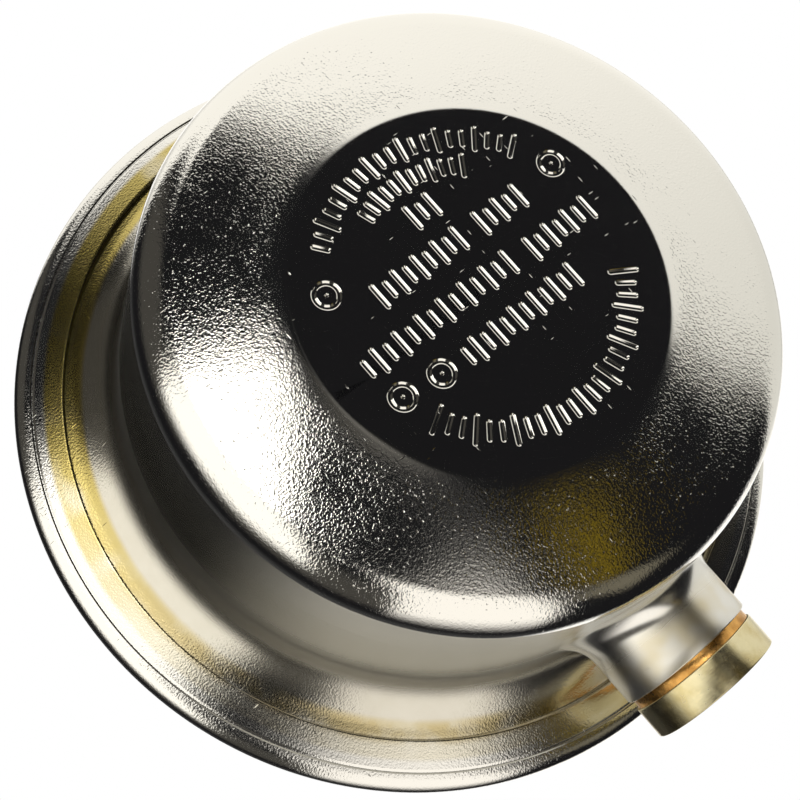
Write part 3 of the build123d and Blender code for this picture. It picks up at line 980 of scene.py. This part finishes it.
def orifice_plug():
    """Plug with its chamfered hexagon, threaded shank and drilled passage."""
    head_z = washer_high.z
    top = plug_high.z
    slope = tan(radians(HEX_CHAMFER_ANGLE))
    flat_r = HEX_FLAT - HEX_CHAMFER_INSET
    passage_z = plug_low.z + PASSAGE_DEPTH
    lead = 0.5 * MM  # chamfer at the shank's end
    shank = thread_places(plug_low.z + lead / 2, head_z - 0.7 * MM)

    def outline(turn):
        side = turn % (pi / 3) - pi / 6
        edge_r = HEX_FLAT / cos(side)
        edge_z = top - (edge_r - flat_r) * slope
        foot_z = head_z + max(edge_r - HEX_FLAT - 0.1 * MM, 0) * slope
        points = [(PASSAGE_R, plug_low.z), (SHANK_R - lead / 2, plug_low.z)]
        for z in shank:
            start = min((z - plug_low.z) / lead, 1.0)
            stop = min((shank[-1] - z) / PLUG_PITCH, 1.0)
            ridge = thread_height(z, turn, PLUG_PITCH, PLUG_THREAD)
            points.append((SHANK_R - lead / 2 * (1 - start) + ridge * min(start, stop), z))
        points += [(SHANK_R, head_z), (HEX_FLAT - 0.3 * MM, head_z), (edge_r - 0.05 * MM, foot_z)]
        points += [(edge_r, foot_z + 0.05 * MM), (edge_r, edge_z)]
        points += [(edge_r - 0.04 * MM, edge_z + 0.02 * MM), (flat_r + 0.1 * MM, top - 0.1 * MM * slope)]
        points += [(flat_r, top), (ORIFICE_R + 0.25 * MM, top), (ORIFICE_R, top - 0.2 * MM)]
        points += [(ORIFICE_R, passage_z + 0.5 * MM), (PASSAGE_R, passage_z)]
        return points

    return lathe("plug", outline, FINE_SEGMENTS)


# ---- Diaphragm -------------------------------------------------------------------------------------
def diaphragm():
    """Thin disc with rolled, rounded corrugations."""
    depth = diaphragm_high.z - diaphragm_low.z - DIAPHRAGM_SHEET
    edge_r = diaphragm_high.x
    end_r = CORRUGATION_START_R + CORRUGATIONS * CORRUGATION_PITCH
    rows = 16 * CORRUGATIONS
    waves = []
    for i in range(rows + 1):
        r = CORRUGATION_START_R + (end_r - CORRUGATION_START_R) * i / rows
        rise = (1 - cos(2 * pi * (r - CORRUGATION_START_R) / CORRUGATION_PITCH)) / 2
        waves.append((r, diaphragm_low.z + depth * rise))
    flat = [(0, diaphragm_low.z), (CORRUGATION_START_R / 2, diaphragm_low.z)]
    rim = [(DIAPHRAGM_WINDOW_R, diaphragm_low.z), (edge_r, diaphragm_low.z)]
    lower = joined(flat, waves, rim)
    upper = [(r, z + DIAPHRAGM_SHEET) for r, z in reversed(lower)]
    return lathe("corrugated_disc", lower + upper, FINE_SEGMENTS)


# ---- Placement -------------------------------------------------------------------------------------
def stand_for(piece, node):
    """The piece stands for a CAD node and takes its finish."""
    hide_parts(node)
    piece.data.materials.append(finish(SLOTS[node]))


def flex(disc):
    """Bakes the diaphragm's placement into its mesh, and works out how far in from its window each point
    lies, 0 outside it and 1 at the foot. No point is moved.
    """
    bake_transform(disc)
    for vertex in disc.data.vertices:
        inward = (DIAPHRAGM_WINDOW_R - hypot(vertex.co.x, vertex.co.y)) / (DIAPHRAGM_WINDOW_R - foot_high.x)
        inward = min(max(inward, 0.0), 1.0)


for make_piece, body in (
    (lower_shell, "housing"),
    (cover_shell, "housing"),
    (seam_solder, "housing"),
    (inlet_bush, "housing"),
    (inlet_braze, "housing"),
    (orifice_boss, "housing"),
    (boss_solder, "housing"),
    (orifice_washer, "washer"),
    (orifice_plug, "plug"),
):
    piece = make_piece()
    stand_for(piece, make_piece.__name__)
    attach(piece, body)

disc = diaphragm()
stand_for(disc, "diaphragm")
flex(disc)

for name, node in frame["nodes"].items():
    node.data.materials.clear()
    node.data.materials.append(finish(SLOTS[name]))


# ---- Studio ----------------------------------------------------------------------------------------
# The studio is a dark room with soft boxes. A direction is given by its angle from straight down,
# laid out flat like a map: u is that angle's share towards +X and v its share towards +Y, in degrees.
DARK = (0.010, 0.010, 0.011)
CREAM = (0.78, 0.77, 0.71)
CREAM_NEAR = (1.08, 1.06, 0.99)
WARM = (1.15, 1.11, 1.03)
WINDOW = (1.3, 1.27, 1.17)
WINDOW_NEAR = (3.0, 2.95, 2.8)
OLIVE = (0.17, 0.12, 0.01)
BEIGE = (0.16, 0.145, 0.105)
HAZE = (0.06, 0.057, 0.05)
CEILING = (1.2, 1.18, 1.14)
GREY = (0.05, 0.05, 0.05)
SOFT = (0.57, 0.56, 0.51)  # after two reflections, on the bright side
DIM = (0.014, 0.014, 0.013)  # after two reflections, on the dark side
FLOOR_GLOW = 0.58
FLOOR_REACH = 3.0


def room(x, y, z):
    """The dark room, paler straight above, with a soft box under its ceiling."""
    ceiling = ramp(x.math("ABSOLUTE"), 0.8, 0.6) * band(y, -0.7, -0.12, 0.1) * ramp(z, 0.35, 0.55)
    return blended(blended(DARK, GREY, ramp(z, 0.6, 0.9)), CEILING, ceiling)


def dim_cards(light, u, v, from_down):
    """Dim cards that lift the darkest reflections, and a small olive one."""
    left = ramp(u, -36, -46) * ramp(v, 2, 14) * ramp(from_down, 115, 95)
    light = blended(light, HAZE, left)
    front = ramp(v, 25, 60) * ramp((u - 25).math("ABSOLUTE"), 60, 30) * ramp(from_down, 120, 100)
    light = blended(light, HAZE, front)
    right = ramp((u - 58).math("ABSOLUTE") * 0.5 + (v + 13).math("ABSOLUTE"), 18, 6)
    light = blended(light, BEIGE, right)
    olive = ramp((v - u * 0.25 + 22.7).math("ABSOLUTE"), 4.2, 0.8) * ramp(u, 6, 15) * ramp(u, 48, 26)
    light = blended(light, OLIVE, olive)
    low = ramp((u + 6).math("ABSOLUTE") + (v + 13.0).math("ABSOLUTE") * 1.3, 10, 4)
    return blended(light, HAZE, low)


def cream_box(light, u, v, from_down):
    """The large soft box, with the round gap that keeps the panel dark."""
    from_panel = ((u + 8.2) * (u + 8.2) + (v + 26.2) * (v + 26.2)).math("SQRT")
    below = ramp(v + u * 0.385 + 34.8, 2.5, -2.5) * ramp(v + u * 0.85 + 31.0, 3.0, -3.0)
    below = below * ramp(from_panel, 10.5, 13.5)
    beside = ramp(u, -43.5, -48.0) * ramp(v, -2.5, -8.5)
    share = below.math("MAXIMUM", beside) * ramp(from_down, 145, 115)
    return blended(light, blended(CREAM, CREAM_NEAR, ramp(u, 25, -45)), share)


def warm_box(light, u, v, from_down):
    """The soft box at the side."""
    share = ramp(u - v * 0.83 - 5.0, -4.0, 4.0) * ramp(v - u * 0.3 + 12.0, -4.5, 4.0)
    share = share * ramp(from_down, 9, 28) * ramp(from_down, 130, 80)
    return blended(light, WARM, share)


def bright_window(light, u, v, from_down):
    """The window, brightest at its lower end."""
    left = ramp(u + v * 0.5 + 19.5, -1.5, 2.0)
    right = ramp(u - v * 0.4 + 4.6, 2.0, -2.5)
    tip = ramp(v - u * 1.4 - 10.5, -3.0, 3.0)
    window = blended(WINDOW, WINDOW_NEAR, ramp(v, 17, 6))
    return blended(light, window, left * right * tip * ramp(from_down, 102, 68))


def studio_lights(direction, depth):
    """Light that comes from a direction. Depth is 2 for light seen after one reflection, 3 after two."""
    x, y, z = axes(direction)
    from_down = (-z).math("ARCCOSINE").math("DEGREES")
    turn = y.math("ARCTAN2", x)
    turn_degrees = turn.math("DEGREES")
    u = from_down * turn.math("COSINE")
    v = from_down * turn.math("SINE")
    light = room(x, y, z)
    for lit in (dim_cards, cream_box, warm_box, bright_window):
        light = lit(light, u, v, from_down)
    soft = blended(DIM, SOFT, ramp(turn_degrees, 100, 42) * ramp(turn_degrees, -95, -45))
    return blended(light, soft, ramp(depth, 2.4, 2.6))


def studio():
    """The world: the studio's lights to every reflection, and plain white to the camera."""
    world = bpy.data.worlds.new("studio")
    bpy.context.scene.world = world
    world.use_nodes = True
    world.cycles.sampling_method = "NONE"  # light sampled from the world has no exact ray depth
    nodes = world.node_tree.nodes
    nodes.clear()
    direction = Wire(nodes.new("ShaderNodeTexCoord").outputs["Generated"])
    path = nodes.new("ShaderNodeLightPath")
    seen = Wire(path.outputs["Is Camera Ray"])
    background = nodes.new("ShaderNodeBackground")
    lights = studio_lights(direction, Wire(path.outputs["Ray Depth"]))
    join(blended(lights, (1.0, 1.0, 1.0), seen), background.inputs["Color"])
    output = nodes.new("ShaderNodeOutputWorld")
    join(Wire(background.outputs[0]), output.inputs["Surface"])


def pale_floor(name, height, glow):
    """A one-sided floor, see-through from behind. It glows a little, so that shadows on it stay soft."""
    material = bpy.data.materials.new(name)
    material.use_nodes = True
    nodes = material.node_tree.nodes
    nodes.clear()
    glowing = nodes.new("ShaderNodeEmission")
    glowing.inputs["Strength"].default_value = glow
    painted = nodes.new("ShaderNodeBsdfDiffuse")
    painted.inputs["Color"].default_value = (0.8, 0.8, 0.8, 1.0)
    front = nodes.new("ShaderNodeAddShader")
    join(Wire(glowing.outputs[0]), front.inputs[0])
    join(Wire(painted.outputs[0]), front.inputs[1])
    clear = nodes.new("ShaderNodeBsdfTransparent")
    shader = nodes.new("ShaderNodeMixShader")
    join(Wire(nodes.new("ShaderNodeNewGeometry").outputs["Backfacing"]), shader.inputs[0])
    join(Wire(front.outputs[0]), shader.inputs[1])
    join(Wire(clear.outputs[0]), shader.inputs[2])
    output = nodes.new("ShaderNodeOutputMaterial")
    join(Wire(shader.outputs[0]), output.inputs["Surface"])
    square = ((-1, -1), (1, -1), (1, 1), (-1, 1))
    corners = [(x * FLOOR_REACH, y * FLOOR_REACH, height) for x, y in square]
    mesh = bpy.data.meshes.new(name)
    mesh.from_pydata(corners, [], [(0, 1, 2, 3)])
    mesh.materials.append(material)
    floor = bpy.data.objects.new(name, mesh)
    bpy.context.scene.collection.objects.link(floor)
    floor.visible_glossy = False
    floor.visible_diffuse = False
    floor.visible_shadow = False


studio()
pale_floor("floor", cad_box[0][2], FLOOR_GLOW)
bpy.context.scene.view_settings.view_transform = "Standard"

# ---- Camera ----------------------------------------------------------------------------------------
CAMERA_PLACE = (17.18 * MM, 54.55 * MM, -105.28 * MM)
CAMERA_TURN = (-159.69, 12.44, -48.23)
SENSOR_WIDTH = 36.0  # millimetres, like the lens
LENS = 73.0
SHIFT = (-0.003, -0.0035)  # in frame widths

camera = bpy.data.objects.new("camera", bpy.data.cameras.new("camera"))
bpy.context.scene.collection.objects.link(camera)
camera.location = CAMERA_PLACE
camera.rotation_euler = Euler([radians(turn) for turn in CAMERA_TURN])
camera.data.sensor_width = SENSOR_WIDTH
camera.data.lens = LENS
camera.data.shift_x, camera.data.shift_y = SHIFT
camera.data.clip_start = 0.01
camera.data.clip_end = 10
bpy.context.scene.camera = camera
